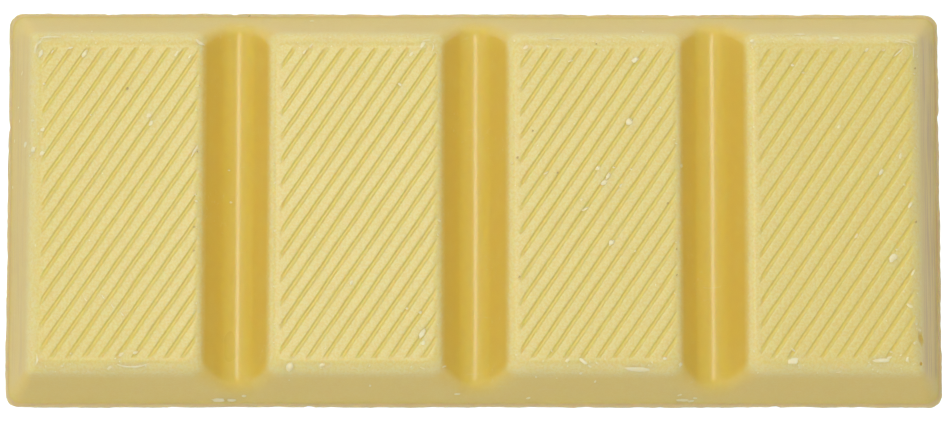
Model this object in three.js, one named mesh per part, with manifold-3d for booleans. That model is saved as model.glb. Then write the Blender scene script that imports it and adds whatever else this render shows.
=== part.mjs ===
// A bar of white chocolate, cast in one piece in an open mould: four blocks in a row,
// parted by three cross grooves, with fine diagonal lines engraved in each block's face.
// Drafted walls run all round, and a thin uneven lip, where the chocolate met the
// mould's rim, goes round the base.
// Millimetres. The bar lies flat on z = 0, its length along X, its moulded face up.

import * as THREE from 'three';
import { mergeVertices } from 'three/addons/utils/BufferGeometryUtils.js';
import Module from 'manifold-3d';

const wasm = await Module();
wasm.setup();

// ---- Driving dimensions ----------------------------------------------------

const LENGTH = 100; // over the lip
const WIDTH = 42.4; // over the lip
const THICKNESS = 9;
const BLOCK_COUNT = 4;
const BLOCK_PITCH = 25;

// The wall leans in by this much between the bar's outline and the blocks' faces.
const FACE_INSET = 3.65;
const BASE_CORNER_RADIUS = 1.5;
const FACE_CORNER_RADIUS = 0.6;
const WALL_EDGE_RADIUS = 1.7; // between a face and the wall
const GROOVE_EDGE_RADIUS = 1; // between a face and a groove's side

// The lip round the base: a thin rounded nose, then a ledge up to the foot of the wall.
const LIP_WIDTH = 0.45;
const LIP_NOSE = 0.25;
const LIP_EDGE = 0.12; // height of its outermost edge
const LIP_HEIGHT = 0.36;
const LIP_WAVE = 0.06; // how far its outline wanders in and out

// A cross groove is a V with a round floor. Where it runs out through a wall, the
// edge between the two is rounded, more and more from the floor up to the face.
const GROOVE_WIDTH = 7.4; // at the level of the faces
const GROOVE_FLOOR = 4; // height of the floor above the base
const GROOVE_RADIUS = 2;
const RUNOUT_BLEND_AT_FLOOR = 1.2; // heights over which the groove rounds into the wall
const RUNOUT_BLEND_AT_FACE = 4;

// The engraved lines of one block fill a field that lies a little right of its middle.
const LINE_ANGLE = THREE.MathUtils.degToRad(55.6);
const LINE_PITCH = 1.404;
const LINE_PHASE = 0.97; // from the block's middle to one line, square to the lines
const LINE_WIDTH = 0.57;
const LINE_FLOOR_WIDTH = 0.26;
const LINE_DEPTH = 0.22;
const FIELD_WIDTH = 16.45;
const FIELD_LENGTH = 32.6;
const FIELD_SHIFT = 0.4;

// Air bubbles that broke open at the right-hand edge of the last block.
const PITS = [
  { x: 46.5, y: -14.2, width: 0.62, length: 1.15, depth: 0.5, turn: 0.3 },
  { x: 46.5, y: -16.8, width: 0.34, length: 0.4, depth: 0.35, turn: 0 },
];

// ---- The moulded form as a height over the base ------------------------------

const wallSlope = (THICKNESS - LIP_HEIGHT) / (FACE_INSET - LIP_WIDTH);
const grooveCentres = Array.from(
  { length: BLOCK_COUNT - 1 },
  (_, index) => (index - (BLOCK_COUNT - 2) / 2) * BLOCK_PITCH,
);
const blockCentres = Array.from(
  { length: BLOCK_COUNT },
  (_, index) => (index - (BLOCK_COUNT - 1) / 2) * BLOCK_PITCH,
);

// The lower of two heights, rounded where they cross.
function softMin(first, second, blend) {
  const nearness = Math.max(1 - Math.abs(first - second) / blend, 0);
  return Math.min(first, second) - (blend / 4) * nearness ** 2;
}

// The groove's side is a straight line that touches the floor's circle and passes through
// the groove's edge. Its lean from upright follows from the triangle of those three.
function grooveLean() {
  const across = GROOVE_WIDTH / 2;
  const up = THICKNESS - GROOVE_FLOOR - GROOVE_RADIUS;
  const reach = Math.hypot(across, up);
  return Math.atan2(across, up) - Math.asin(GROOVE_RADIUS / reach);
}

const lean = grooveLean();

// Height of a groove's surface at a distance from its middle.
function grooveHeight(distance) {
  const touch = GROOVE_RADIUS * Math.cos(lean);
  const centre = GROOVE_FLOOR + GROOVE_RADIUS;
  if (distance < touch) {
    return centre - Math.sqrt(GROOVE_RADIUS ** 2 - distance ** 2);
  }
  return THICKNESS + (distance - GROOVE_WIDTH / 2) / Math.tan(lean);
}

// Height of the lip and of the wall above it at a distance in from the outline, as if
// the wall went on upwards.
function wallHeight(inset) {
  const nose = Math.max(1 - inset / LIP_NOSE, 0);
  const lip = LIP_EDGE + (LIP_HEIGHT - LIP_EDGE) * Math.sqrt(1 - nose ** 2);
  const wall = LIP_HEIGHT + (inset - LIP_WIDTH) * wallSlope;
  return Math.max(lip, wall);
}

// How far a rounded edge reaches in plan, over the face and down the side below it.
function edgeReach(slope, radius) {
  const overFace = radius * Math.tan(Math.atan(slope) / 2);
  return { overFace, downSide: overFace * Math.cos(Math.atan(slope)) };
}

// The height of a side that meets a face in a rounded edge. The side is given by the
// height that it would have without the face, and by its slope.
function belowFace(side, slope, radius) {
  const { overFace, downSide } = edgeReach(slope, radius);
  const past = (side - THICKNESS) / slope;
  if (past >= overFace) return THICKNESS;
  if (past <= -downSide) return side;
  return THICKNESS - radius + Math.sqrt(radius ** 2 - (overFace - past) ** 2);
}

const grooveSlope = 1 / Math.tan(lean);

function surfaceHeight(x, inset) {
  const nearest = Math.min(...grooveCentres.map((centre) => Math.abs(x - centre)));
  const groove = grooveHeight(nearest);
  const wall = wallHeight(inset);
  const rise = Math.min((groove - GROOVE_FLOOR) / (THICKNESS - GROOVE_FLOOR), 1);
  const blend = THREE.MathUtils.lerp(RUNOUT_BLEND_AT_FLOOR, RUNOUT_BLEND_AT_FACE, rise);
  // The edge takes its form from whichever side is nearer.
  const share = THREE.MathUtils.clamp(0.5 + (wall - groove) / (2 * RUNOUT_BLEND_AT_FACE), 0, 1);
  const slope = THREE.MathUtils.lerp(wallSlope, grooveSlope, share);
  const radius = THREE.MathUtils.lerp(WALL_EDGE_RADIUS, GROOVE_EDGE_RADIUS, share);
  return belowFace(softMin(wall, groove, blend), slope, radius);
}

// How far the lip's edge falls short of its widest, by its place round the bar.
function lipWander(x, y) {
  const ripple = Math.sin(1.13 * x + 0.9 * y) + 0.6 * Math.sin(2.3 * x - 1.7 * y + 1);
  const swell = Math.sin(0.21 * x + 0.37 * y + 2);
  return LIP_WAVE * (1 + 0.35 * ripple + 0.4 * swell);
}

// ---- The body: a box whose grid is moved on to that form ---------------------

// Evenly spread values from the first up to, but without, the last.
function spread(first, last, count) {
  return Array.from({ length: count }, (_, index) => first + ((last - first) * index) / count);
}

// Distances in from the outline, closer together where the form curves.
const wallEdge = edgeReach(wallSlope, WALL_EDGE_RADIUS);
const runoutReach = RUNOUT_BLEND_AT_FACE / wallSlope;
const insets = [
  ...spread(0, LIP_NOSE, 2),
  ...spread(LIP_NOSE, LIP_WIDTH, 1),
  ...spread(LIP_WIDTH, FACE_INSET - wallEdge.downSide, 5),
  ...spread(FACE_INSET - wallEdge.downSide, FACE_INSET + wallEdge.overFace, 6),
  ...spread(FACE_INSET + wallEdge.overFace, FACE_INSET + runoutReach, 1),
  FACE_INSET + runoutReach,
];

// Distances from the middle of a groove: its floor, its side, its edge and its run-out.
const floorReach = GROOVE_RADIUS * Math.cos(lean);
const grooveEdge = edgeReach(grooveSlope, GROOVE_EDGE_RADIUS);
const sideReach = GROOVE_WIDTH / 2 - grooveEdge.downSide;
const faceReach = GROOVE_WIDTH / 2 + grooveEdge.overFace;
const grooveReach = GROOVE_WIDTH / 2 + RUNOUT_BLEND_AT_FACE * Math.tan(lean);
const halfGroove = [
  ...spread(0, floorReach, 4),
  ...spread(floorReach, sideReach, 3),
  ...spread(sideReach, faceReach, 5),
  ...spread(faceReach, grooveReach, 2),
  grooveReach,
];
const wholeGroove = [...halfGroove.slice(1).map((distance) => -distance).reverse(), ...halfGroove];

// Grid lines from one side of the bar to the other: the insets at both sides, the groups
// given for the middle, and evenly spread lines in the gaps between these.
function gridLines(size, groups, stepsPerGap) {
  const first = insets.map((inset) => inset - size / 2);
  const last = insets.map((inset) => size / 2 - inset).reverse();
  return [...groups, last].reduce(
    (lines, group) => [...lines, ...spread(lines.at(-1), group[0], stepsPerGap).slice(1), ...group],
    first,
  );
}

const grooves = grooveCentres.map((centre) => wholeGroove.map((offset) => centre + offset));
const xLines = gridLines(LENGTH, grooves, 7);
const yLines = gridLines(WIDTH, [], 15);

// Turns the grid's square rings into rounded ones, with the lip's edge uneven.
function inPlan(u, v) {
  const fromEnd = LENGTH / 2 - Math.abs(u);
  const fromSide = WIDTH / 2 - Math.abs(v);
  const inset = Math.min(fromEnd, fromSide);
  const narrowing = (BASE_CORNER_RADIUS - FACE_CORNER_RADIUS) / FACE_INSET;
  const radius = Math.max(BASE_CORNER_RADIUS - narrowing * inset, 0);
  const along = Math.min(Math.abs(fromEnd - fromSide) / (radius || 1), 1);
  const angle = (Math.PI / 4) * (1 - along);
  const wander = lipWander(u, v) * Math.max(1 - inset / LIP_WIDTH, 0);
  const near = inset + radius + (wander - radius) * Math.cos(angle);
  const far = Math.max(fromEnd, fromSide) - radius * along + radius;
  const turned = far + (wander - radius) * Math.sin(angle);
  const [endInset, sideInset] = fromEnd < fromSide ? [near, turned] : [turned, near];
  const x = Math.sign(u) * (LENGTH / 2 - endInset);
  const y = Math.sign(v) * (WIDTH / 2 - sideInset);
  return { x, y, inset };
}

function mouldedBody() {
  const box = new THREE.BoxGeometry(1, 1, 1, xLines.length - 1, yLines.length - 1, 1);
  const place = box.attributes.position;
  for (let index = 0; index < place.count; index += 1) {
    const column = Math.round((place.getX(index) + 0.5) * (xLines.length - 1));
    const row = Math.round((place.getY(index) + 0.5) * (yLines.length - 1));
    const { x, y, inset } = inPlan(xLines[column], yLines[row]);
    const z = place.getZ(index) > 0 ? surfaceHeight(x, inset) : 0;
    place.setXYZ(index, x, y, z);
  }
  return box;
}

// ---- Cutters -------------------------------------------------------------------

// Everything above the field's floor, where the lines of one block may run.
function fieldBox(blockX) {
  const box = new THREE.BoxGeometry(FIELD_WIDTH, FIELD_LENGTH, 2 * THICKNESS);
  return box.translate(blockX + FIELD_SHIFT, 0, THICKNESS);
}

// One engraved line, long enough to cross the whole field, at an offset square to it.
function lineCutter(blockX, offset) {
  const profile = new THREE.Shape([
    new THREE.Vector2(-LINE_FLOOR_WIDTH / 2, -LINE_DEPTH),
    new THREE.Vector2(LINE_FLOOR_WIDTH / 2, -LINE_DEPTH),
    new THREE.Vector2(LINE_WIDTH / 2, 0),
    new THREE.Vector2(LINE_WIDTH / 2, LINE_DEPTH),
    new THREE.Vector2(-LINE_WIDTH / 2, LINE_DEPTH),
    new THREE.Vector2(-LINE_WIDTH / 2, 0),
  ]);
  const depth = 2 * FIELD_LENGTH;
  const line = new THREE.ExtrudeGeometry(profile, { depth, bevelEnabled: false });
  line.translate(0, 0, -depth / 2).rotateX(Math.PI / 2).rotateZ(LINE_ANGLE - Math.PI / 2);
  const x = blockX + offset * Math.sin(LINE_ANGLE);
  const y = -offset * Math.cos(LINE_ANGLE);
  return line.translate(x, y, THICKNESS);
}

// The offsets of the lines that cross the field.
function lineOffsets() {
  const right = (FIELD_WIDTH / 2) * Math.sin(LINE_ANGLE);
  const reach = right + (FIELD_LENGTH / 2) * Math.cos(LINE_ANGLE) - LINE_WIDTH;
  const shift = FIELD_SHIFT * Math.sin(LINE_ANGLE);
  const first = Math.ceil((shift - reach - LINE_PHASE) / LINE_PITCH);
  const last = Math.floor((shift + reach - LINE_PHASE) / LINE_PITCH);
  return Array.from(
    { length: last - first + 1 },
    (_, index) => LINE_PHASE + (first + index) * LINE_PITCH,
  );
}

function pitCutter({ x, y, width, length, depth, turn }) {
  const pit = new THREE.SphereGeometry(1, 10, 6).rotateX(Math.PI / 2);
  pit.scale(width / 2, length / 2, depth).rotateZ(turn);
  return pit.translate(x, y, surfaceHeight(x, LENGTH / 2 - x));
}

// ---- Solids --------------------------------------------------------------------

function toSolid(geometry) {
  const bare = geometry.clone();
  bare.deleteAttribute('normal');
  bare.deleteAttribute('uv');
  const merged = mergeVertices(bare, 1e-4);
  return new wasm.Manifold(
    new wasm.Mesh({
      numProp: 3,
      vertProperties: new Float32Array(merged.attributes.position.array),
      triVerts: new Uint32Array(merged.index.array),
    }),
  );
}

function toGeometry(solid) {
  const mesh = solid.getMesh();
  const geometry = new THREE.BufferGeometry();
  geometry.setAttribute('position', new THREE.BufferAttribute(mesh.vertProperties, 3));
  geometry.setIndex(new THREE.BufferAttribute(mesh.triVerts, 1));
  geometry.computeVertexNormals();
  return geometry;
}

// Flat stretches of the grid need no inner vertices.
const FLATNESS = 0.006;

function chocolateBar() {
  let bar = toSolid(mouldedBody()).simplify(FLATNESS);
  for (const blockX of blockCentres) {
    const lines = lineOffsets().map((offset) => toSolid(lineCutter(blockX, offset)));
    const engraving = lines.reduce((joined, line) => joined.add(line));
    bar = bar.subtract(engraving.intersect(toSolid(fieldBox(blockX))));
  }
  for (const pit of PITS) {
    bar = bar.subtract(toSolid(pitCutter(pit)));
  }
  // Taken as one new solid, so that the slivers between neighbouring cuts can go too.
  bar = bar.asOriginal().simplify(FLATNESS);
  const material = new THREE.MeshStandardMaterial({ color: 0xe4d28a, roughness: 0.45, metalness: 0 });
  const mesh = new THREE.Mesh(toGeometry(bar), material);
  mesh.name = 'chocolate_bar';
  return mesh;
}

const part = new THREE.Group();
part.add(chocolateBar());

export default part;
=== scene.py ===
# %% [markdown]
# # A bar of white chocolate
#
# The bar is one casting: four blocks in a row, parted by three deep grooves, with fine
# diagonal lines engraved in each block's face. A thin, uneven lip runs round the base, where
# the warm chocolate met the rim of the mould.
#
# Its plain solid comes first and stays fixed. The bar that is modelled here takes its place:
# it has the same form, with the wear and unevenness that a plain solid leaves out. All sizes
# are in millimetres, and each mesh is made in metres at the very end.

import math
import random

import bmesh
import bpy
from mathutils import Matrix, Vector, noise


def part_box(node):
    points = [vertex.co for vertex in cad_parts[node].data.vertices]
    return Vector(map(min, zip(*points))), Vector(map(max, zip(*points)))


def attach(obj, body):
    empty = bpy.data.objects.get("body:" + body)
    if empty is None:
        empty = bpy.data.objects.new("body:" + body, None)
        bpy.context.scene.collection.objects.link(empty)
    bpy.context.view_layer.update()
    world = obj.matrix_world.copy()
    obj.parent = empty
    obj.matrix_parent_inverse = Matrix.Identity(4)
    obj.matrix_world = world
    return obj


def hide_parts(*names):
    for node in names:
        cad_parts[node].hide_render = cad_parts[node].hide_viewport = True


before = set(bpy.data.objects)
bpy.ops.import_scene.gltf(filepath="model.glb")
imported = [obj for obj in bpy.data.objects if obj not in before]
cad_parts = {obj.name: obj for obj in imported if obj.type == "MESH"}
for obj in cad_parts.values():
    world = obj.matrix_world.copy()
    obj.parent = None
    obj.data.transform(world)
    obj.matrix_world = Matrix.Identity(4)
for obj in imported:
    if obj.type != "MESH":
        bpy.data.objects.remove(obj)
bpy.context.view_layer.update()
low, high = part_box("chocolate_bar")
MM = 0.001
print("solid, in mm:", [round(side / MM, 2) for side in high - low])

# %% [markdown]
# ## The sizes of the mould
#
# A bar like this is described by a few dozen sizes. The walls lean in by a draft, so that the
# bar drops out of its mould. The grooves are a V with a round floor, which makes the blocks easy
# to snap. Named sizes come first, because each later step is worked out from them.

# %% Sizes
LENGTH, WIDTH, THICKNESS = 100, 42.4, 9
BLOCK_COUNT, BLOCK_PITCH = 4, 25

FACE_INSET = 3.65  # from the outline to the edge of a face
BASE_CORNER_RADIUS, FACE_CORNER_RADIUS = 1.5, 0.6
WALL_EDGE_RADIUS, GROOVE_EDGE_RADIUS = 1.7, 1

LIP_WIDTH, LIP_NOSE, LIP_HOLLOW = 0.45, 0.25, 0.5
LIP_EDGE, LIP_HEIGHT, LIP_WAVE = 0.12, 0.36, 0.06
LIP_UNEVENNESS, LIP_THINNEST = 0.3, 0.06

GROOVE_WIDTH, GROOVE_FLOOR, GROOVE_RADIUS = 7.4, 4, 2
RUNOUT_BLEND_AT_FLOOR, RUNOUT_BLEND_AT_FACE = 2.4, 4

LINE_ANGLE = math.radians(55.6)
LINE_PITCH, LINE_PHASE = 1.404, 0.97
LINE_HALF_WIDTH, LINE_DEPTH, LINE_FLOOR = 0.28, 0.14, 0.08
LINE_TAPER = 0.35  # over this length a line rises to nothing at the border of its field
LINE_WANDER, LINE_SWELL, LINE_WEAR = 0.035, 0.12, 0.35  # sideways, in width and in depth
FIELD_WIDTH, FIELD_LENGTH, FIELD_SHIFT = 16.45, 32.6, 0.4

groove_centres = [(i - (BLOCK_COUNT - 2) / 2) * BLOCK_PITCH for i in range(BLOCK_COUNT - 1)]
block_centres = [(i - (BLOCK_COUNT - 1) / 2) * BLOCK_PITCH for i in range(BLOCK_COUNT)]
print("grooves at", groove_centres, "and blocks at", block_centres)

# %% [markdown]
# ## The form as a height
#
# Seen from above, nothing on a moulded bar is undercut, so its whole upper side can be written
# as one height for each place. Walls, grooves and faces are each a simple height of their own.
# Where two of them meet, the lower one counts, and the crossing is rounded off, just as the
# mould maker's cutter rounds it.


# %% Heights of the walls and grooves
def soft_min(first, second, blend):
    """The lower of two heights, rounded where they cross."""
    nearness = max(1 - abs(first - second) / blend, 0)
    return min(first, second) - blend / 4 * nearness**2


groove_rise = THICKNESS - GROOVE_FLOOR - GROOVE_RADIUS
lean = math.atan2(GROOVE_WIDTH / 2, groove_rise) - math.asin(
    GROOVE_RADIUS / math.hypot(GROOVE_WIDTH / 2, groove_rise)
)
wall_slope = (THICKNESS - LIP_HEIGHT) / (FACE_INSET - LIP_WIDTH)
groove_slope = 1 / math.tan(lean)


def groove_height(distance):
    """Height of a groove at a distance from its middle."""
    if distance < GROOVE_RADIUS * math.cos(lean):
        return GROOVE_FLOOR + GROOVE_RADIUS - math.sqrt(GROOVE_RADIUS**2 - distance**2)
    return THICKNESS + (distance - GROOVE_WIDTH / 2) / math.tan(lean)


def wall_height(inset):
    """Height of the lip and the wall at a distance in from the outline."""
    nose = max(1 - inset / LIP_NOSE, 0)
    lip = LIP_EDGE + (LIP_HEIGHT - LIP_EDGE) * math.sqrt(max(1 - nose**2, 0))
    wall = LIP_HEIGHT + (inset - LIP_WIDTH) * wall_slope
    return -soft_min(-lip, -wall, LIP_HOLLOW)


print("the groove's sides lean", round(math.degrees(lean), 1), "degrees from upright")


# %% Rounded edges of the faces
def edge_reach(slope, radius):
    """How far a rounded edge reaches in plan: over the face, and down the side below it."""
    over_face = radius * math.tan(math.atan(slope) / 2)
    return over_face, over_face * math.cos(math.atan(slope))


def below_face(side, slope, radius):
    """Height of a side that meets a face in a rounded edge."""
    over_face, down_side = edge_reach(slope, radius)
    past = (side - THICKNESS) / slope
    if past >= over_face:
        return THICKNESS
    if past <= -down_side:
        return side
    return THICKNESS - radius + math.sqrt(radius**2 - (over_face - past) ** 2)


def surface_height(x, inset):
    """Height of the bar, without its engraving, at a place along it and a distance in."""
    groove, wall = groove_height(min(abs(x - c) for c in groove_centres)), wall_height(inset)
    rise = min((groove - GROOVE_FLOOR) / (THICKNESS - GROOVE_FLOOR), 1)
    blend = RUNOUT_BLEND_AT_FLOOR + rise * (RUNOUT_BLEND_AT_FACE - RUNOUT_BLEND_AT_FLOOR)
    share = min(max(0.5 + (wall - groove) / (2 * RUNOUT_BLEND_AT_FACE), 0), 1)
    slope = wall_slope + share * (groove_slope - wall_slope)
    radius = WALL_EDGE_RADIUS + share * (GROOVE_EDGE_RADIUS - WALL_EDGE_RADIUS)
    return below_face(soft_min(wall, groove, blend), slope, radius)


block_middle = surface_height(block_centres[2], WIDTH / 2)
print("the middle of a block is", round(block_middle, 3), "mm high")

# %% [markdown]
# ## Rounded corners and a ragged lip
#
# The sheet that becomes the bar starts as a plain rectangle of faces. Its square rings are
# pushed inwards at the corners, which rounds them. The outermost ring also wanders and breaks
# up a little, because the lip is only the film of chocolate that crept out over the mould.


# %% From the flat sheet to the bar's plan
def ripple(x, y, size, seed):
    """Smooth random waves between about -1 and 1, as wide as the size."""
    return noise.noise(Vector((x / size, y / size, 7.3 * seed)))


def lip_wander(x, y):
    """How far the lip's edge falls short of its widest, by its place round the bar."""
    waves = math.sin(1.13 * x + 0.9 * y) + 0.6 * math.sin(2.3 * x - 1.7 * y + 1)
    swell = math.sin(0.21 * x + 0.37 * y + 2)
    bites = 0.05 * ripple(x, y, 0.55, 1) + 0.5 * max(ripple(x, y, 1.6, 2) - 0.45, 0)
    return max(LIP_WAVE * (1 + 0.35 * waves + 0.4 * swell) + bites, 0)


def in_plan(u, v):
    """The place on the bar of a point of the flat sheet, and how far in it lies."""
    from_end, from_side = LENGTH / 2 - abs(u), WIDTH / 2 - abs(v)
    inset = min(from_end, from_side)
    narrowing = (BASE_CORNER_RADIUS - FACE_CORNER_RADIUS) / FACE_INSET
    radius = max(BASE_CORNER_RADIUS - narrowing * inset, 0)
    along = min(abs(from_end - from_side) / (radius or 1), 1)
    angle = math.pi / 4 * (1 - along)
    wander = 0 if inset > LIP_WIDTH else lip_wander(u, v) * (1 - inset / LIP_WIDTH)
    near = inset + radius + (wander - radius) * math.cos(angle)
    far = max(from_end, from_side) - radius * along + radius
    turned = far + (wander - radius) * math.sin(angle)
    end_inset, side_inset = (near, turned) if from_end < from_side else (turned, near)
    x = math.copysign(LENGTH / 2 - end_inset, u)
    y = math.copysign(WIDTH / 2 - side_inset, v)
    return x, y, inset


corner_x, corner_y, _ = in_plan(LENGTH / 2, WIDTH / 2)
print("a corner of the sheet is pulled in to", round(corner_x, 2), round(corner_y, 2))

# %% [markdown]
# ## The sheet of faces
#
# A grid gives faces where the form needs them: its lines crowd together at the lip, at each
# edge and in each groove, and spread out elsewhere. The operator makes an even grid, and its
# rows and columns are then moved to where the two lists say.


# %% Lines of the grid
def spread(first, last, count):
    """Evenly spread values from the first up to, but without, the last."""
    return [first + (last - first) * i / count for i in range(count)]


def fill_gaps(stops, step):
    """Evenly spread values between neighbouring stops, no further apart than the step."""
    gaps = zip(stops, stops[1:])
    filled = [spread(a, b, max(1, math.ceil((b - a) / step - 0.01))) for a, b in gaps]
    return [value for gap in filled for value in gap] + [stops[-1]]


over_face, down_side = edge_reach(wall_slope, WALL_EDGE_RADIUS)
hollow = LIP_HOLLOW / wall_slope
insets = (
    spread(0, LIP_NOSE, 4)
    + [LIP_NOSE]
    + spread(LIP_WIDTH - hollow, LIP_WIDTH + hollow, 4)
    + spread(LIP_WIDTH + hollow, FACE_INSET - down_side, 7)
    + spread(FACE_INSET - down_side, FACE_INSET + over_face, 12)
    + [FACE_INSET + over_face]
)

floor_reach = GROOVE_RADIUS * math.cos(lean)
over_face, down_side = edge_reach(groove_slope, GROOVE_EDGE_RADIUS)
half_groove = (
    spread(0, floor_reach, 9)
    + spread(floor_reach, GROOVE_WIDTH / 2 - down_side, 5)
    + spread(GROOVE_WIDTH / 2 - down_side, GROOVE_WIDTH / 2 + over_face, 8)
    + [GROOVE_WIDTH / 2 + over_face]
)
whole_groove = [-distance for distance in half_groove[:0:-1]] + half_groove

STEP = 0.42
ends = [inset - LENGTH / 2 for inset in insets]
sides = [inset - WIDTH / 2 for inset in insets]
grooves = [centre + offset for centre in groove_centres for offset in whole_groove]
columns = fill_gaps(ends + grooves + [-end for end in ends[::-1]], STEP)
rows = fill_gaps(sides + [-side for side in sides[::-1]], STEP)
print(len(columns), "columns and", len(rows), "rows")


# %% The plain sheet
def uneven_grid(bm, xs, ys):
    """A flat sheet of faces whose columns and rows lie where the two lists say."""
    made = bmesh.ops.create_grid(bm, x_segments=len(xs) - 1, y_segments=len(ys) - 1, size=0.5)
    for vert in made["verts"]:
        column = round((vert.co.x + 0.5) * (len(xs) - 1))
        row = round((vert.co.y + 0.5) * (len(ys) - 1))
        vert.co = (xs[column], ys[row], 0)
    return made["verts"]


sheet = bmesh.new()
uneven_grid(sheet, columns, rows)
print("the plain sheet has", len(sheet.faces), "faces")

# %% [markdown]
# ## The engraved fields
#
# The diagonal lines are finer than the grid, and they cross it at an angle, so cutting them
# into it would give ragged edges. Each field is made as a grid of its own instead, turned to
# run with the lines, with its faces crowded at each line. Four cuts trim it to a rectangle.
# All four blocks carry the same field, so one is made and used four times.


# %% One field
def line_offsets():
    """The offsets of the lines that may cross a field, from the block's middle."""
    half_across = (
        FIELD_WIDTH / 2 * math.sin(LINE_ANGLE) + FIELD_LENGTH / 2 * math.cos(LINE_ANGLE)
    )
    middle = FIELD_SHIFT * math.sin(LINE_ANGLE)
    first = math.floor((middle - half_across - LINE_PHASE) / LINE_PITCH)
    last = math.ceil((middle + half_across - LINE_PHASE) / LINE_PITCH)
    return [LINE_PHASE + index * LINE_PITCH for index in range(first, last + 1)]


FIELD_STEP = 0.45
ON_PLANE, WELD = 1e-4, 0.03
half_line = [0, 0.07, 0.11, 0.15, 0.19, 0.235, 0.29, 0.46]
across = sorted(
    offset + side * place
    for offset in line_offsets()
    for side, places in ((-1, half_line[1:] + [LINE_PITCH / 2]), (1, half_line))
    for place in places
)
half_along = FIELD_LENGTH / 2 * math.sin(LINE_ANGLE) + FIELD_WIDTH * math.cos(LINE_ANGLE)
along = fill_gaps([-half_along, half_along], FIELD_STEP)

field = bmesh.new()
turned = uneven_grid(field, across, along)
turn = Matrix.Rotation(LINE_ANGLE - math.pi / 2, 3, "Z")
bmesh.ops.rotate(field, verts=turned, cent=(0, 0, 0), matrix=turn)
for outwards, reach in (
    (Vector((1, 0, 0)), FIELD_WIDTH / 2 + FIELD_SHIFT),
    (Vector((-1, 0, 0)), FIELD_WIDTH / 2 - FIELD_SHIFT),
    (Vector((0, 1, 0)), FIELD_LENGTH / 2),
    (Vector((0, -1, 0)), FIELD_LENGTH / 2),
):
    bmesh.ops.bisect_plane(
        field,
        geom=field.verts[:] + field.edges[:] + field.faces[:],
        dist=ON_PLANE,
        plane_co=outwards * reach,
        plane_no=outwards,
        clear_outer=True,
    )
border_verts = [vert for vert in field.verts if vert.is_boundary]
bmesh.ops.remove_doubles(field, verts=border_verts, dist=WELD)
field_mesh = bpy.data.meshes.new("field")
field.to_mesh(field_mesh)
print("one field has", len(field.faces), "faces")

# %% [markdown]
# ## Fields into the sheet
#
# The faces of the sheet that a field covers are taken out, and the field is put in the gap.
# The narrow frame that is left between the two is filled with triangles. All is still flat, so
# nothing shows of the seam later.

# %% Joining
FRAME_GAP = 0.06


def covered(face, block_x):
    """Whether a face of the sheet lies under a block's field, or touches its frame."""
    middle = face.calc_center_median()
    half_x = max(abs(vert.co.x - middle.x) for vert in face.verts)
    half_y = max(abs(vert.co.y - middle.y) for vert in face.verts)
    in_x = abs(middle.x - block_x - FIELD_SHIFT) < FIELD_WIDTH / 2 + FRAME_GAP + half_x
    return in_x and abs(middle.y) < FIELD_LENGTH / 2 + FRAME_GAP + half_y


def in_block(edge, block_x):
    """Whether an edge of the sheet lies in or just round a block's field."""
    middle = (edge.verts[0].co + edge.verts[1].co) / 2
    in_x = abs(middle.x - block_x - FIELD_SHIFT) < FIELD_WIDTH / 2 + 2 * STEP
    return in_x and abs(middle.y) < FIELD_LENGTH / 2 + 2 * STEP


for block_x in block_centres:
    hole = [face for face in sheet.faces if covered(face, block_x)]
    bmesh.ops.delete(sheet, geom=hole, context="FACES")
    before = set(sheet.verts)
    sheet.from_mesh(field_mesh)
    added = [vert for vert in sheet.verts if vert not in before]
    bmesh.ops.translate(sheet, verts=added, vec=(block_x, 0, 0))
    border = [edge for edge in sheet.edges if edge.is_boundary and in_block(edge, block_x)]
    bmesh.ops.triangle_fill(sheet, edges=border, use_beauty=True, normal=(0, 0, 1))
open_edges = sum(edge.is_boundary for edge in sheet.edges)
print(len(sheet.faces), "faces, with", open_edges, "edges round the outline")

# %% [markdown]
# ## The engraved lines
#
# An engraved line is a narrow trench with a flat floor and rounded edges. It could be cut out of
# the bar with a boolean, but a depth worked out for each point is quicker and can vary. A line is
# never quite the same depth or width, it wanders a hair's breadth, and here and there it was
# smeared nearly shut when the bar was handled.

# %% Depth of the engraving
# Smears: where on the bar, how far they reach and how much of the depth they take.
SMEARS = [
    (-44.5, 13.5, 2.6, 0.5),
    (-38.4, -10.6, 2.2, 0.6),
    (-4.9, -8.9, 1.8, 0.55),
    (13.6, 2.9, 1.2, 0.8),
    (45.2, -14.5, 1.6, 0.5),
    (43.6, -5.3, 0.9, 0.6),
    (-33.2, 9.2, 1.3, 0.7),
]


def ease(value):
    """A smooth step from 0 to 1."""
    value = min(max(value, 0), 1)
    return value * value * (3 - 2 * value)


def engraving(u, v):
    """Depth of the nearest engraved line at a point of the sheet."""
    block_x = min(block_centres, key=lambda centre: abs(u - centre))
    x = u - block_x
    to_border = min(FIELD_WIDTH / 2 - abs(x - FIELD_SHIFT), FIELD_LENGTH / 2 - abs(v))
    if to_border <= 0:
        return 0
    off = x * math.sin(LINE_ANGLE) - v * math.cos(LINE_ANGLE) - LINE_PHASE
    run = x * math.cos(LINE_ANGLE) + v * math.sin(LINE_ANGLE)
    number = round(off / LINE_PITCH)
    seed = 31 * number + block_x
    distance = abs(off - number * LINE_PITCH + LINE_WANDER * ripple(run, seed, 3.1, 3))
    taper = ease(to_border / LINE_TAPER)
    swelling = 1 + LINE_SWELL * ripple(run, seed, 2.2, 4)
    half_width = LINE_HALF_WIDTH * (0.85 + 0.15 * taper) * swelling
    trench = 1 - ease((distance - LINE_FLOOR) / (half_width - LINE_FLOOR))
    worn = 1 - LINE_WEAR * max(ripple(run, seed, 4.5, 5), 0)
    for smear_x, smear_y, reach, share in SMEARS:
        near = 1 - ((u - smear_x) ** 2 + (v - smear_y) ** 2) / reach**2
        if near > 0:
            worn *= 1 - share * ease(near) * (0.6 + 0.8 * ripple(u, v, 0.9, 6))
    return LINE_DEPTH * trench * taper * min(max(worn, 0), 1)


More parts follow.
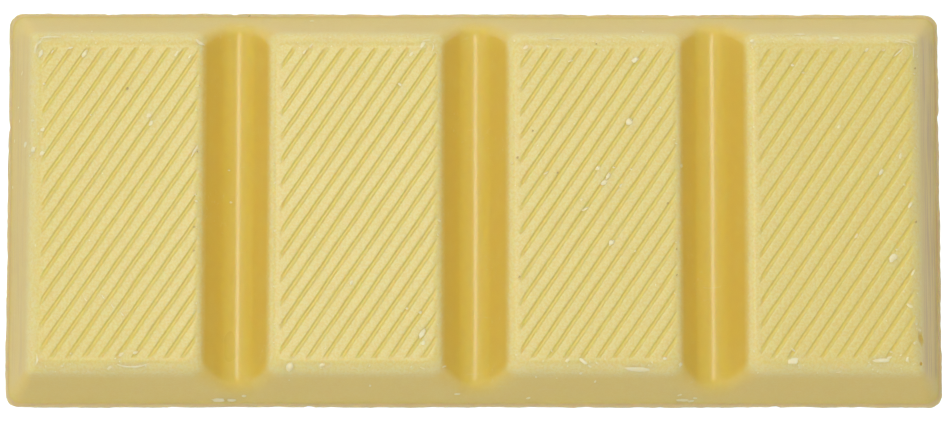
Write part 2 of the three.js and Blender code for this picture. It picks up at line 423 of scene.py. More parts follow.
print("the lines are up to", LINE_DEPTH, "mm deep, and", len(SMEARS), "smears fill them up")

# %% [markdown]
# ## Broken air bubbles
#
# Air caught in the mould leaves bubbles just under the skin, and two of them have broken open at
# the edge of the last block. Each is half of an egg shape, sunk into the height. A hollow this
# small needs finer faces than the grid has, so the faces round it are divided first.

# %% Two broken bubbles
# Place, half the width and length, depth, and turn of each.
PITS = [(46.5, -14.2, 0.31, 0.575, 0.5, 0.3), (46.5, -16.8, 0.17, 0.2, 0.35, 0)]
PIT_SURROUNDINGS = 0.75


def pit_depth(x, y):
    """How deep the deepest bubble is at a place."""
    deepest = 0
    for pit_x, pit_y, half_x, half_y, depth, angle in PITS:
        across_pit = (x - pit_x) * math.cos(angle) + (y - pit_y) * math.sin(angle)
        along_pit = (y - pit_y) * math.cos(angle) - (x - pit_x) * math.sin(angle)
        rest = 1 - (across_pit / half_x) ** 2 - (along_pit / half_y) ** 2
        if rest > 0:
            deepest = max(deepest, depth * math.sqrt(rest))
    return deepest


for pit_x, pit_y, *_ in PITS:
    close = [
        edge
        for edge in sheet.edges
        if all(
            math.hypot(vert.co.x - pit_x, vert.co.y - pit_y) < PIT_SURROUNDINGS
            for vert in edge.verts
        )
    ]
    bmesh.ops.subdivide_edges(sheet, edges=close, cuts=3, use_grid_fill=True)
print("with the bubbles the sheet has", len(sheet.faces), "faces")

# %% [markdown]
# ## Where the bar is worn, and where light and shade are painted
#
# The flat tops are dull, because they rub against the wrapper, while the walls and grooves keep
# the gloss of the mould. The finish has to know where it is, so each point carries five numbers
# from 0 to 1: how pale it is, how much it lies on a chipped edge, how deep in an engraved line,
# whether it lies on the lip, and whether on an end wall. The paleness is partly the bloom of the
# rubbed tops and partly painted light: painted sheen on the tops, on their rounded edges and at
# the ends of each groove, and painted shade where the tone deepens down into a groove. The number
# for an engraved line also paints a yellow glow on each groove's floor, round its highlight.
# They are worked out with the point's height, stored with the mesh, and read by name in the
# finish.

# %% Wear and painted light
SHADE_DEPTH = 1.2  # the paleness has faded into the deep tone this far down a groove, partly as painted shade
END_SHEEN_REACH = 2.4  # and so much further down at the groove's two ends: painted sheen where it runs out
END_FROM, END_OVER = 2, 3  # how far in from the outline that fades, and over how much
FLOOR_GLOW_SHARE = 0.5  # how much the floor of a groove takes the engraved lines' yellow, a painted glow round its highlight
WALL_PALENESS = 0.3  # how pale a wall is, where a face is 1
SHEEN_FROM, SHEEN_OVER = 7, 1.6  # the height from which that grows to a face's paleness, a painted sheen on the top edge, and over how much it does
CHIPS_FROM, CHIPS_RISE = 0.01, 0.12  # how far below a face the chipped edge starts
CHIPS_TO, CHIPS_FADE = 0.4, 1.3  # and from where it fades out


def wear_and_painted_light(inset, height):
    """Paleness from rubbing and painted light (0 deep in a groove, 1 on a face), edge wear, floor
    glow.
    """
    sunk = below_face(wall_height(inset), wall_slope, WALL_EDGE_RADIUS) - height
    # A wall is partly pale, and its top edge grows paler as a painted sheen.
    up_wall = WALL_PALENESS + (1 - WALL_PALENESS) * ease((height - SHEEN_FROM) / SHEEN_OVER)
    # Down a groove the paleness fades into the deep tone, partly as painted shade; at its ends it
    # reaches deeper, as painted sheen.
    shade_depth = SHADE_DEPTH + END_SHEEN_REACH * (1 - ease((inset - END_FROM) / END_OVER))
    open_share = 1 - ease(sunk / shade_depth)
    below = THICKNESS - height
    chipped = ease((below - CHIPS_FROM) / CHIPS_RISE) * (1 - ease((below - CHIPS_TO) / CHIPS_FADE))
    # The floor of a groove gets a share of the engraved yellow: a painted glow round its
    # highlight.
    on_floor = (1 - ease((height - GROOVE_FLOOR) / 2)) * ease(sunk / shade_depth)
    return open_share * up_wall, chipped * open_share, FLOOR_GLOW_SHARE * on_floor


# Shows the paleness from rubbing and painted light, the edge wear and the painted floor glow.
for name, height in (("face", THICKNESS), ("groove", GROOVE_FLOOR)):
    print("on a", name, "the wear is", [round(share, 2) for share in wear_and_painted_light(WIDTH / 2, height)])


# %% [markdown]
# ## Raising the sheet
#
# Now each point of the sheet goes to its place: in plan to the rounded outline, and up to the
# height of the form, less the engraving and the bubbles. Slow waves of a few hundredths of a
# millimetre are added, because no poured surface is quite flat and its reflections show that.
# The corners of the sheet are joined along their diagonal first, so that no face is twisted.

# %% Every point to its place
FINE_WAVE, BROAD_WAVE, WALL_WAVE = 0.006, 0.012, 0.05  # of the surface, in height
LIP_FADE = 0.2
END_WALL_FROM, END_WALL_HALF = 46.9, 18.6  # from the middle of the bar
LEFT_END_SHARE = 0.3  # how streaked the left end wall is, where the right one is 1, whose dark streaks also paint shade


def raised(u, v):
    """Where a point goes, and its paleness (rubbing and painted light), edge wear, engraving and
    floor glow.
    """
    x, y, inset = in_plan(u, v)
    height = surface_height(x, inset)
    depth = engraving(u, v)
    rub_and_painted_light, as_edge, as_floor = wear_and_painted_light(inset, height)
    if depth > 0:
        height = min(height, THICKNESS - depth)
    height += FINE_WAVE * ripple(x, y, 1.7, 7) + BROAD_WAVE * ripple(x, y, 7, 8)
    if inset < FACE_INSET:
        height += WALL_WAVE * ripple(x, y, 2.3, 9)
    if inset < LIP_WIDTH:
        height = max(height * (1 + LIP_UNEVENNESS * ripple(x, y, 0.7, 10)), LIP_THINNEST)
    pit = pit_depth(x, y)
    in_pit = ease(pit / 0.15)
    place = Vector((x, y, min(height - pit, THICKNESS)))
    # The floors of engraved lines, and the painted glow on a groove's floor, share one number.
    as_floor = max(as_floor, ease(depth / LINE_DEPTH))
    return place, rub_and_painted_light * (1 - in_pit), as_edge * (1 - in_pit), as_floor


def insets_of(vert):
    """How far in from the end and from the side a point of the flat sheet lies."""
    return LENGTH / 2 - abs(vert.co.x), WIDTH / 2 - abs(vert.co.y)


# Numbers each point carries: paleness from rubbing and painted light, edge wear, engraving with a
# painted floor glow, lip and end wall.
WEAR_AND_LIGHT = ("bloom_and_painted_light", "edge_wear", "engraved_and_glow", "rim", "end_wall")
bloom_and_painted_light, edge_wear, engraved_and_glow, rim, end_wall = (sheet.verts.layers.float.new(n) for n in WEAR_AND_LIGHT)
corners = [v for v in sheet.verts if abs(insets_of(v)[0] - insets_of(v)[1]) < ON_PLANE]
bmesh.ops.connect_verts(sheet, verts=corners)
for vert in sheet.verts:
    u, v, _ = vert.co
    vert[rim] = ease(0.5 + (LIP_WIDTH - min(insets_of(vert))) / LIP_FADE)
    at_end = ease((abs(u) - END_WALL_FROM) / 0.6) * ease((END_WALL_HALF - abs(v)) / 1.5)
    vert[end_wall] = at_end * (1 if u > 0 else LEFT_END_SHARE)
    vert.co, vert[bloom_and_painted_light], vert[edge_wear], vert[engraved_and_glow] = raised(u, v)
print("highest point:", round(max(vert.co.z for vert in sheet.verts), 3), "mm")

# %% [markdown]
# ## The underside
#
# A bar is poured into an open mould and scraped level, so its underside is flat but not
# perfect: low hollows show where the chocolate sank as it set. The outline is drawn down to
# the table, closed with one face, and that face is cut into squares so that it can dip.

# %% Closing the bar
outline = [edge for edge in sheet.edges if edge.is_boundary]
drawn = bmesh.ops.extrude_edge_only(sheet, edges=outline)["geom"]
for item in drawn:
    if isinstance(item, bmesh.types.BMVert):
        item.co.z = 0
foot = [edge for edge in sheet.edges if edge.is_boundary]
underside = bmesh.ops.contextual_create(sheet, geom=foot)["faces"]

SQUARE, UNCUT_BORDER = 1.9, 1.2
for axis, size in (((1, 0, 0), LENGTH), ((0, 1, 0), WIDTH)):
    steps = int((size / 2 - UNCUT_BORDER) / SQUARE)
    for step in range(-steps, steps + 1):
        edges = dict.fromkeys(edge for face in underside for edge in face.edges)
        verts = dict.fromkeys(vert for face in underside for vert in face.verts)
        cut = bmesh.ops.bisect_plane(
            sheet,
            geom=[*verts, *edges, *underside],
            dist=ON_PLANE,
            plane_co=Vector(axis) * SQUARE * step,
            plane_no=axis,
        )
        pieces = [item for item in cut["geom"] if isinstance(item, bmesh.types.BMFace)]
        underside = [face for face in dict.fromkeys(underside + pieces) if face.is_valid]
print("the underside has", len(underside), "faces")

# %% [markdown]
# ## The finished mesh
#
# Now the underside gets its low hollows. Only the points inside it move, so its edge stays
# level. Every face has to point outwards, and every edge has to lie between two faces, because
# light that sinks in needs a closed body to travel through. Faces are shaded as one smooth skin,
# apart from the edges that bend sharply, such as the foot of the lip. A piece is modelled in
# millimetres and is scaled to metres in one function, which the crumbs and the table use too.

# %% Hollows, outward faces and metres
SHARP = math.radians(50)
HOLLOW_DEPTH, HOLLOW_SIZE = 0.1, 9


def to_piece(bm, name, material):
    """Makes a finished piece of a mesh in millimetres."""
    bmesh.ops.scale(bm, verts=bm.verts[:], vec=(MM, MM, MM))
    for face in bm.faces:
        face.smooth = True
    for edge in bm.edges:
        edge.smooth = edge.calc_face_angle(0) < SHARP
    mesh = bpy.data.meshes.new(name)
    bm.to_mesh(mesh)
    bm.free()
    mesh.materials.append(material)
    piece = bpy.data.objects.new(name, mesh)
    bpy.context.scene.collection.objects.link(piece)
    print(name, "has", sum(len(face.vertices) - 2 for face in mesh.polygons), "triangles")
    return piece


bmesh.ops.recalc_face_normals(sheet, faces=sheet.faces[:])
for vert in sheet.verts:
    if vert.co.z == 0 and not any(edge.other_vert(vert).co.z > 0 for edge in vert.link_edges):
        vert.co.z = HOLLOW_DEPTH * ease(0.5 + ripple(vert.co.x, vert.co.y, HOLLOW_SIZE, 11))
many_sided = [face for face in sheet.faces if len(face.verts) > 4]
bmesh.ops.triangulate(sheet, faces=many_sided)
print("closed:", all(edge.is_manifold for edge in sheet.edges))

# %% [markdown]
# ## Shader maths
#
# A finish is a net of nodes. Written out one by one they hide what is meant, so a small class
# wraps an output and lets Python's own signs add the maths nodes. Every other node comes from
# one method, which takes its type, its settings and what goes into its sockets.


# %% Wires and finishes
class Wire:
    """One output of a node."""

    def __init__(self, finish, socket):
        self.finish, self.socket = finish, socket

    def maths(self, operation, first, second):
        return self.finish.node("ShaderNodeMath", {"operation": operation}, {0: first, 1: second})

    def __add__(self, other):
        return self.maths("ADD", self, other)

    def __sub__(self, other):
        return self.maths("SUBTRACT", self, other)

    def __rsub__(self, other):
        return self.maths("SUBTRACT", other, self)

    def __mul__(self, other):
        return self.maths("MULTIPLY", self, other)

    __radd__, __rmul__ = __add__, __mul__


class Finish:
    """A material, its main shader and the helpers that feed it."""

    def __init__(self, name, **constants):
        self.material = bpy.data.materials.new(name)
        self.material.use_nodes = True
        self.tree = self.material.node_tree
        self.shader = self.tree.nodes["Principled BSDF"]
        for socket, value in constants.items():
            self.shader.inputs[socket.replace("_", " ")].default_value = value
        place = self.node("ShaderNodeTexCoord", output="Object")
        scaling = {0: place, "Scale": 1 / MM}
        self.mm = self.node("ShaderNodeVectorMath", {"operation": "SCALE"}, scaling)

    def node(self, kind, settings=None, inputs=None, output=0):
        """A new node: its settings come first, because they can change its sockets."""
        made = self.tree.nodes.new(kind)
        for name, value in (settings or {}).items():
            setattr(made, name, value)
        for name, value in (inputs or {}).items():
            self.feed(made.inputs[name], value)
        return Wire(self, made.outputs[output])

    def feed(self, socket, value):
        """Links a wire to a socket, or sets the socket's own value."""
        if isinstance(value, Wire):
            self.tree.links.new(value.socket, socket)
        else:
            socket.default_value = value

    def wear_and_light(self, name):
        """A number that each point of the mesh carries."""
        return self.node("ShaderNodeAttribute", {"attribute_name": name}, output="Fac")

    def clouds(self, size, detail=2, rough=0.5, place=None):
        """Soft random clouds of a size in millimetres, about 0.5 on average."""
        inputs = {"Vector": place or self.mm, "Scale": 1 / size, "Detail": detail}
        inputs["Roughness"] = rough
        return self.node("ShaderNodeTexNoise", inputs=inputs, output="Fac")

    def step(self, value, low, high):
        """A smooth step of a value, from 0 at low to 1 at high."""
        settings = {"interpolation_type": "SMOOTHSTEP"}
        inputs = {"Value": value, "From Min": low, "From Max": high}
        return self.node("ShaderNodeMapRange", settings, inputs)

    def mix(self, share, first, second):
        """A mixture of two colours."""
        first, second = (c if isinstance(c, Wire) else (*c, 1) for c in (first, second))
        settings = {"data_type": "RGBA"}
        return self.node("ShaderNodeMix", settings, {0: share, 6: first, 7: second}, output=2)

    def stretch(self, x, y, z):
        """The place, scaled along each axis, for patterns that run one way."""
        inputs = {0: self.mm, 1: (x, y, z)}
        return self.node("ShaderNodeVectorMath", {"operation": "MULTIPLY"}, inputs)

    def bump(self, height, distance):
        """A surface roughened by a height, whose full range is a distance in millimetres."""
        inputs = {"Height": height, "Distance": distance * MM, "Strength": 1}
        return self.node("ShaderNodeBump", inputs=inputs)

    def set(self, **inputs):
        """Feeds the main shader's sockets, and hands over the material."""
        for name, value in inputs.items():
            self.feed(self.shader.inputs[name.replace("_", " ")], value)
        return self.material


# %% [markdown]
# ## White chocolate
# White chocolate is cocoa butter, milk and sugar, with no cocoa solids. Light sinks in a little
# way and comes out yellower, which gives the grooves part of their warm, deep tone. That is
# subsurface scattering, set once for the whole bar. What changes over the bar is the surface,
# and each change is a mask from the section on wear and painted light, or from noise. The tops
# are paler and dull with a fine mottled grain: their paleness is partly bloom and partly painted
# sheen, and the deeper tone down into a groove is partly painted shade. Their engraved lines stay
# a clean yellow, and the same yellow paints a glow on the floor of each groove, round its
# highlight. The walls are smoother, the end walls carry streaks from the mould, and the top edges
# are chipped white in places; the streaks are heavier on the right end wall, which paints part of
# the shade on that side. The lip is so thin that light passes through it and loses its red, so
# its own colour is redder to make up for that, and paler, which paints the sheen that it shows.

# %% The chocolate's finish
DEEP = (0.845, 0.622, 0.12)
# The pale tone of the tops is partly bloom and partly painted sheen.
PALE = (0.893, 0.78, 0.33)
# The engraved yellow also paints a glow on the floor of each groove.
ENGRAVED_AND_GLOW = (0.885, 0.745, 0.17)
# The lip is redder to make up for light lost through it, and paler as a painted sheen.
LIP = (1.0, 0.64, 0.36)
WHITENED = (0.94, 0.87, 0.58)
BLOTCHED = (0.86, 0.71, 0.22)
# The dark streak colour also paints part of the shade on the right end wall.
DARK_STREAK_AND_SHADE, LIGHT_STREAK = (0.66, 0.45, 0.23), (0.9, 0.68, 0.38)
GRAIN_DEPTH = 0.012


def chocolate_finish():
    finish = Finish(
        "white_chocolate",
        IOR=1.5,
        Subsurface_Weight=1.0,
        Subsurface_Radius=(1.0, 0.78, 0.36),
        Subsurface_Scale=1.0 * MM,
    )
    bloom_and_painted_light, edge_wear, engraved_and_glow, rim, end_wall = (finish.wear_and_light(name) for name in WEAR_AND_LIGHT)
    grain = finish.clouds(0.28, detail=3, rough=0.62)
    drift = finish.clouds(9, detail=2)
    blotch = finish.clouds(2.4, detail=3)
    # Pale tops: partly bloom, partly painted sheen; the deeper tone down a groove is partly
    # painted shade.
    top = bloom_and_painted_light * (0.58 + 0.42 * finish.step(grain, 0.38, 0.62))
    colour = finish.mix(top, DEEP, PALE)
    colour = finish.mix(0.2 * finish.step(blotch, 0.45, 0.75), colour, BLOTCHED)
    # The engraved lines keep a clean yellow; on a groove's floor it paints a glow round the
    # highlight.
    colour = finish.mix(0.8 * engraved_and_glow, colour, ENGRAVED_AND_GLOW)
    along_x = finish.clouds(0.4, detail=2, place=finish.stretch(0.1, 1, 1))
    scuffed = finish.step(along_x, 0.6, 0.72) * finish.step(finish.clouds(5), 0.54, 0.66)
    scuffed = scuffed * (1 - 0.6 * bloom_and_painted_light)
    colour = finish.mix(0.2 * scuffed, colour, WHITENED)
    along_y = finish.clouds(0.3, detail=2, place=finish.stretch(1, 0.03, 0.6))
    # Streaks on the end walls; the heavier dark ones on the right also paint shade on that side.
    colour = finish.mix(0.7 * end_wall * finish.step(along_y, 0.48, 0.6), colour, DARK_STREAK_AND_SHADE)
    colour = finish.mix(0.5 * end_wall * finish.step(along_y, 0.44, 0.36), colour, LIGHT_STREAK)
    chips = finish.step(finish.clouds(0.55, detail=3, rough=0.6), 0.5, 0.66)
    colour = finish.mix(edge_wear * (0.14 + 0.3 * chips), colour, WHITENED)
    # The lip: redder to make up for light lost through it, and paler as a painted sheen.
    colour = finish.mix(0.8 * rim, colour, LIP)
    rough = 0.26 + 0.07 * bloom_and_painted_light + 0.06 * drift
    fine = finish.bump(grain, GRAIN_DEPTH)
    return finish.set(Base_Color=colour, Roughness=rough, Normal=fine)


chocolate = chocolate_finish()
bar = to_piece(sheet, "moulded_bar", chocolate)
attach(bar, "root")
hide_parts("chocolate_bar")

# %% [markdown]
# ## Crumbs and shavings
#
# Handling breaks crumbs off a bar, mostly where a face meets a wall, and shaves thin curls off
# its edges. They stay stuck to it. Each could be cut from a little block, but at this size a
# ball of few faces does: it is stretched, made uneven with random waves and, for a curl, bent.
# Then it is laid on the bar: each of its points is lifted by the bar's own height below it, so
# a crumb dips into a line that it crosses.

# %% One crumb
def add_crumb(bm, x, y, length, width, turn=0, bend=0, finer=2):
    """Adds a crumb at a place on the bar. Its turn is in degrees from the bar's length."""
    made = bmesh.ops.create_icosphere(bm, subdivisions=finer, radius=0.5)["verts"]
    height = 0.45 * width + 0.03
    spin = Matrix.Rotation(math.radians(turn), 2)
    for vert in made:
        rough = 1 + 0.5 * noise.noise(vert.co * 2.6 + Vector((x, y, 0)))
        along, across = vert.co.x * length * rough, vert.co.y * width * rough
        flat = spin @ Vector((along, across + bend * along**2))
        up = (vert.co.z * rough + 0.3) * height
        below = raised(x + flat.x, y + flat.y)[0]
        vert.co = (below.x, below.y, min(below.z + up, THICKNESS - 0.004 + 0.3 * up))


# %% The crumbs that catch the eye
# Place, length, width, turn and bend of each.
CRUMBS = [
    # On the left wall.
    (-48.0, 14.1, 0.5, 0.14, 60, 0),
    (-48.5, 10.6, 0.24, 0.18, 0, 0),
    (-48.3, 9.1, 0.36, 0.15, 85, 0),
    (-49.1, 7.2, 0.36, 0.14, 80, 0),
    (-47.3, 6.3, 0.6, 0.4, 65, 0),
    (-49.3, 2.3, 0.3, 0.16, 90, 0),
    # On the first block, and in the groove beside it.
    (-45.2, 7.6, 0.45, 0.35, 20, 0),
    (-45.2, 5.1, 0.55, 0.4, 30, 0),
    (-26.0, 3.8, 0.25, 0.2, 0, 0),
    (-25.8, 0.4, 0.3, 0.2, 0, 0),
    (-29.1, 0.1, 0.5, 0.18, -20, 0),
    (-46.3, 8.6, 0.4, 0.28, 20, 0),
    (-46.2, 5.5, 0.65, 0.5, 60, 0),
    (-46.6, 4.9, 0.26, 0.2, 0, 0),
    (-34.1, 9.1, 0.5, 0.4, 20, 0),
    (-33.9, 8.3, 0.6, 0.36, 60, 0),
    (-29.3, 5.4, 1.25, 0.2, 60, 0),
    (-40.9, 15.6, 0.9, 0.42, 60, 0),
    (-42.4, 16.2, 0.5, 0.18, 10, 0),
    (-41.9, 17.4, 0.7, 0.14, 4, 0.1),
    (-44.3, 15.8, 0.5, 0.16, 50, 0),
    (-31.3, 15.6, 0.7, 0.22, 58, 0),
    (-29.9, 15.3, 0.45, 0.15, 56, 0),
    (-28.9, 16.8, 1.0, 0.26, -35, 0.35),
    (-44.6, 17.4, 2.2, 0.2, 2, -0.06),
    (-45.9, 16.6, 1.7, 0.24, 62, -0.3),
    (-45.5, 15.6, 0.8, 0.4, 70, 0),
    (-45.1, 12.4, 0.3, 0.2, 0, 0),
    (-38.7, -9.9, 0.5, 0.13, -55, 0),
    (-37.7, -10.9, 0.5, 0.13, -55, 0),
    (-36.7, -11.7, 0.5, 0.13, -52, 0),
    (-40.5, -10.2, 0.42, 0.12, -55, 0),
    (-45.5, -16.5, 1.1, 0.22, 80, 0.5),
    (-42.9, -17.1, 0.35, 0.2, 10, 0),
    (-36.8, -15.9, 0.6, 0.3, 40, 0),
    (-35.3, -15.7, 0.6, 0.3, 20, 0),
    (-38.0, -17.3, 0.5, 0.28, 30, 0),
    (-35.5, -17.2, 3.1, 0.17, 2, 0.12),
    (-27.2, -20.4, 1.3, 0.3, 1, 0),
    (-25.8, -20.4, 0.9, 0.26, 0, 0),
    (-24.4, -20.0, 0.5, 0.24, 5, 0),
    # On the second block.
    (-7.9, 12.4, 0.45, 0.25, -40, 0),
    (-12.9, -8.4, 0.5, 0.25, 60, 0),
    (-3.7, -1.9, 0.35, 0.3, 0, 0),
    (-19.3, -17.2, 0.9, 0.7, 70, 0),
    (-15.9, -17.0, 0.6, 0.36, 30, 0),
    (-7.1, -11.1, 0.3, 0.24, 0, 0),
    (-5.7, -11.5, 0.4, 0.3, 30, 0),
    (-5.5, -13.7, 1.1, 0.42, 62, 0),
    (-5.4, -14.7, 0.5, 0.34, 60, 0),
    (-5.5, -17.3, 0.6, 0.16, -20, 0.2),
    (-3.2, -17.1, 0.45, 0.16, 20, 0),
    (-1.8, -19.8, 0.7, 0.16, 2, 0),
    (-11.0, -19.0, 0.24, 0.2, 0, 0),
    (-17.4, 20.1, 0.5, 0.22, 3, 0),
    (-17.2, 16.5, 0.6, 0.18, 52, 0),
    (-17.9, 15.8, 0.5, 0.2, 50, 0),
    (-6.7, 15.6, 0.6, 0.26, 54, 0),
    (-5.1, 17.1, 0.9, 0.13, 8, -0.4),
    (-4.4, 16.3, 0.8, 0.13, 84, 0.4),
    (-5.5, 16.6, 0.7, 0.36, 50, 0),
    # On the third block.
    (16.8, 15.0, 0.8, 0.55, 20, 0),
    (10.0, 14.9, 0.5, 0.2, 20, 0),
    (7.4, 3.1, 0.6, 0.16, 30, 0),
    (21.6, 3.9, 0.4, 0.3, 80, 0),
    (16.1, 8.5, 0.8, 0.65, 60, 0),
    (12.8, 3.6, 0.55, 0.36, 40, 0),
    (14.5, 3.7, 0.26, 0.22, 0, 0),
    (16.3, 3.5, 0.24, 0.2, 0, 0),
    (13.5, 2.1, 0.75, 0.4, 40, 0.3),
    (13.9, 2.8, 0.7, 0.36, 60, 0),
    (14.2, -4.2, 0.75, 0.48, 70, 0),
    (16.7, -5.1, 0.24, 0.2, 0, 0),
    (11.5, -0.7, 0.8, 0.25, 30, 0.3),
    (11.1, 0.3, 0.3, 0.18, 40, 0),
    (15.2, 1.8, 0.4, 0.18, 50, 0),
    (11.2, -16.6, 0.9, 0.36, -38, 0.15),
    (11.9, -17.1, 0.5, 0.2, -25, 0),
    (9.6, -16.5, 0.5, 0.34, 40, 0),
    (11.0, -17.8, 0.34, 0.24, 10, 0),
    (12.6, -18.6, 0.26, 0.22, 80, 0),
    (16.9, -17.4, 2.5, 0.4, -2, 0),
    (19.7, -16.3, 0.36, 0.3, 0, 0),
    (21.4, -16.9, 0.5, 0.34, 40, 0),
    (21.7, -19.9, 0.5, 0.18, 15, 0),
    (22.1, -20.4, 1.3, 0.24, 1, 0),
    (23.0, -20.5, 0.7, 0.18, 8, 0),
    (23.4, -20.2, 0.4, 0.16, -5, 0),
    (5.7, -20.2, 0.45, 0.2, 12, 0),
    (5.3, 16.3, 0.55, 0.34, 35, 0),
    (8.4, 17.3, 1.6, 0.12, -2, 0.05),
    (15.7, 17.4, 0.7, 0.12, -10, -0.5),
    # On the last block.
    (29.1, 17.1, 0.5, 0.3, 20, 0),
    (34.2, 17.9, 1.1, 0.2, 2, 0),
    (37.9, 17.4, 0.8, 0.3, 0, 0),
    (41.1, 16.1, 0.5, 0.25, 45, 0),
    (33.3, 14.5, 0.35, 0.25, 0, 0),
    (34.4, 13.7, 0.35, 0.2, 0, 0),
    (38.1, 8.0, 0.4, 0.3, 50, 0),
    (44.5, 4.9, 0.6, 0.25, 80, 0),
    (42.5, 3.2, 0.8, 0.35, 60, 0.5),
    (44.9, 1.9, 0.3, 0.25, 0, 0),
    (45.5, -0.2, 0.8, 0.28, 55, 0),
    (39.8, -3.5, 0.6, 0.22, 60, 0),
    (45.7, -7.3, 0.7, 0.2, 60, 0),
    (45.3, -10.8, 0.7, 0.3, -30, 0.3),
    (33.1, -15.4, 0.5, 0.2, -40, 0.3),
    (42.3, -16.5, 1.6, 0.4, 2, 0),
    (33.1, -16.6, 1.1, 0.55, 15, 0),
    (37.9, -17.7, 0.6, 0.14, 8, 0.5),
    (43.1, -16.2, 0.5, 0.26, 20, 0),
    (45.0, -16.4, 0.5, 0.3, 60, 0),
    (43.3, -15.6, 0.3, 0.2, 0, 0),
    (46.4, -13.3, 0.36, 0.3, 0, 0),
    (46.0, -12.7, 0.3, 0.22, 40, 0),
    (45.8, -14.7, 0.34, 0.26, 20, 0),
    (43.6, -5.8, 0.95, 0.6, 40, 0),
    (44.0, -4.9, 0.26, 0.2, 0, 0),
    (45.5, 17.15, 1.8, 0.15, -8, -0.12),
    (44.9, 16.95, 1.3, 0.13, -6, -0.1),
    (46.06, 16.0, 1.15, 0.16, 88, 0.1),
    (46.5, 15.5, 0.32, 0.18, 80, 0),
    (44.5, 15.9, 1.27, 0.14, 43, 0),
    (42.9, 16.1, 0.36, 0.18, 20, 0),
    (43.4, 13.1, 0.26, 0.2, 0, 0),
    (46.1, 13.6, 0.26, 0.2, 0, 0),
]

crumbs = bmesh.new()
for x, y, length, width, turn, bend in CRUMBS:
    add_crumb(crumbs, x, y, length, width, turn, bend, finer=3 if length > 0.9 else 2)
print(len(CRUMBS), "crumbs to see")

# %% [markdown]
# ## Dust of chocolate
#
# Round the large crumbs lies a dust of far smaller ones. It gathers along the edges of the
# faces, so most flecks get a random place there, and the rest fall anywhere on a face. The
# random numbers are seeded, so the same dust falls each time. A fleck is only a few faces,
# because nothing finer would show.

# %% The dust
dice = random.Random(12)
FLECKS_PER_BLOCK = 42
DUSTY_X, DUSTY_Y = 8.4, 17  # half the size of the dusty part of a face
DUSTY_EDGE = 8.3  # where the dust along a groove begins
AT_GROOVE, AT_WALL = 0.35, 0.75  # the share of the flecks there, and that of the rest there
for block_x in block_centres:
    for _ in range(FLECKS_PER_BLOCK):
        side_x, side_y = dice.choice((-1, 1)), dice.choice((-1, 1))
        x, y = dice.uniform(-DUSTY_X, DUSTY_X), dice.uniform(-DUSTY_Y, DUSTY_Y)
        if dice.random() < AT_GROOVE:
            x = side_x * (DUSTY_EDGE + abs(dice.gauss(0, 0.2)))
        elif dice.random() < AT_WALL:
            y = side_y * (DUSTY_Y + dice.gauss(0, 0.5))
        size = dice.uniform(0.09, 0.2)
        length, turn = size * dice.uniform(1, 1.8), 180 * dice.random()
        add_crumb(crumbs, block_x + x, y, length, size, turn, finer=1)
print("with the dust:", len(crumbs.faces), "faces")


# %% The crumbs' finish
def crumb_finish():
    finish = Finish("crumb_cream", IOR=1.5)
    shade = finish.step(finish.clouds(0.5), 0.35, 0.65)
    colour = finish.mix(shade, (1.0, 0.88, 0.48), (1.0, 0.93, 0.6))
    return finish.set(Base_Color=colour, Roughness=0.35 + 0.1 * shade)


crumb_piece = to_piece(crumbs, "crumbs", crumb_finish())
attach(crumb_piece, "root")

# %% [markdown]
# ## Dark specks
#
# A few brown specks sit in the surface: bits of cocoa or of scorched milk that went into the
# mix, and tiny air holes. They could be dots of colour in the finish, but a small round bit is
# as easily made, keeps its sharp edge, and catches the light as a real one does. Each is a crumb
# nearly level with the surface, in a brown finish of its own.

# %% The specks
# Place and size of each.
SPECKS = [
    (6.0, 7.5, 0.2),
    (4.4, 4.7, 0.22),
    (8.6, 3.1, 0.2),
    (-36.4, 11.9, 0.26),
    (-29.3, -2.6, 0.2),
    (-29.3, -5.1, 0.18),
    (-29.0, 5.3, 0.16),
    (4.6, -7.8, 0.2),
    (20.1, -0.1, 0.2),
    (21.0, -4.9, 0.17),
    (21.0, -7.6, 0.17),
    (46.1, -2.0, 0.2),
    (46.2, 14.2, 0.18),
    (12.7, 16.7, 0.16),
    (-24.2, 20.9, 0.22),
]
specks = bmesh.new()
for x, y, size in SPECKS:
    add_crumb(specks, x, y, 1.3 * size, size, turn=55)


def speck_finish():
    finish = Finish("speck_brown", Roughness=0.5)
    colour = finish.mix(finish.clouds(0.15), (0.58, 0.43, 0.15), (0.74, 0.57, 0.22))
    return finish.set(Base_Color=colour)


speck_piece = to_piece(specks, "specks", speck_finish())
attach(speck_piece, "root")

# %% [markdown]
# ## The table, the light and the camera
#
# The bar lies on a white table. A small lamp hangs almost straight above it: its reflection
# gives the dull tops their sheen and draws the thin bright line along each groove. Three broad
# weak panels, at the left, the back and the front, light the walls, and with none at the right
# that side stays darker. The camera sees a plain backdrop in the table's place, so the ground
# is one even white with no shadow on it, as in a cut-out for a catalogue.

# %% The table
GROUND_REACH = 1500


def flat_ground(name, finish, depth):
    """A plain sheet that lies a little below the bar, so that the two never touch."""
    ground_sheet = bmesh.new()
    made = bmesh.ops.create_grid(ground_sheet, x_segments=1, y_segments=1, size=GROUND_REACH)
    bmesh.ops.translate(ground_sheet, verts=made["verts"], vec=(0, 0, -depth))
    ground = to_piece(ground_sheet, name, finish)
    return ground


table_white = Finish("table_white", Roughness=0.9, Base_Color=(0.88, 0.88, 0.88, 1))
table = flat_ground("table", table_white.material, depth=0.04)
table.visible_camera = False

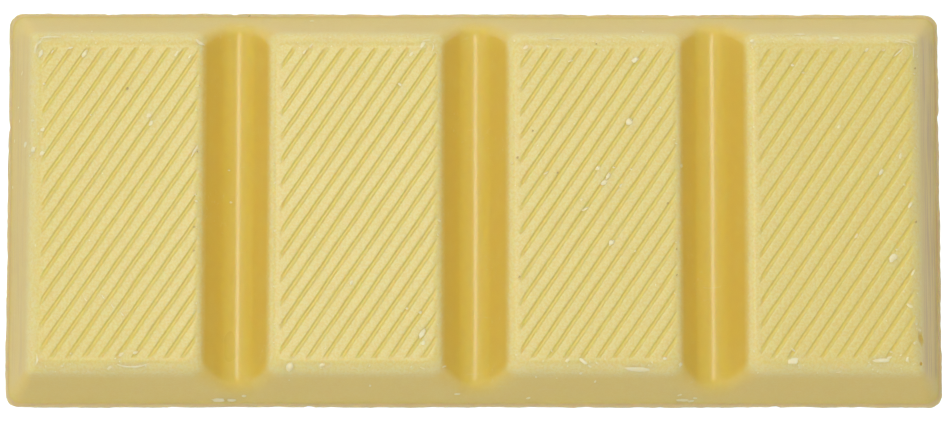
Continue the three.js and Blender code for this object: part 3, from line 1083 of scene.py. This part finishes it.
glow = Finish("glow_white", Roughness=0.9, Base_Color=(0.6, 0.6, 0.6, 1))
glow.set(Emission_Color=(1, 1, 1, 1), Emission_Strength=0.75)
backdrop = flat_ground("backdrop", glow.material, depth=0.02)
for kind in ("diffuse", "glossy", "transmission", "shadow"):
    setattr(backdrop, "visible_" + kind, False)


# %% The lamps
def softbox(name, place, width, height, brightness):
    """A flat lamp that faces the middle of the bar. Places are in millimetres."""
    lamp = bpy.data.lights.new(name, "AREA")
    lamp.shape, lamp.size, lamp.size_y = "RECTANGLE", width * MM, height * MM
    lamp.energy = brightness * math.pi * lamp.size * lamp.size_y
    holder = bpy.data.objects.new(name, lamp)
    holder.location = Vector(place) * MM
    holder.rotation_euler = Vector(place).to_track_quat("Z", "Y").to_euler()
    bpy.context.scene.collection.objects.link(holder)
    print(name, "stands", round(Vector(place).length), "mm from the bar")


softbox("overhead_lamp", (-29, 40, 400), 120, 120, 8.8)
softbox("left_panel", (-737, 0, 516), 900, 1260, 0.46)
softbox("back_panel", (0, 846, 308), 900, 900, 0.78)
softbox("front_panel", (0, -689, 579), 900, 900, 0.46)

SKY_BRIGHTNESS = 0.35
world = bpy.data.worlds.new("studio")
world.use_nodes = True
sky = world.node_tree.nodes["Background"]
sky.inputs["Color"].default_value = (1, 1, 1, 1)
sky.inputs["Strength"].default_value = SKY_BRIGHTNESS
bpy.context.scene.world = world

# %% The camera
EYE, AIM = Vector((-3.56, -30.78, 342)), Vector((0.07, -0.055, 0))
SENSOR_WIDTH, FOCAL_LENGTH = 36, 121.4
eye = bpy.data.cameras.new("camera")
eye.sensor_width, eye.lens = SENSOR_WIDTH, FOCAL_LENGTH
camera = bpy.data.objects.new("camera", eye)
camera.location = EYE * MM
backwards = (EYE - AIM).normalized()
sideways = Vector((0, 1, 0)).cross(backwards).normalized()
upwards = backwards.cross(sideways)
camera.rotation_euler = Matrix((sideways, upwards, backwards)).transposed().to_euler()
bpy.context.scene.collection.objects.link(camera)
bpy.context.scene.camera = camera
bpy.context.scene.view_settings.view_transform = "Standard"
leaning = math.degrees(math.acos(backwards.z))
print("the camera leans", round(leaning, 1), "degrees from straight down")
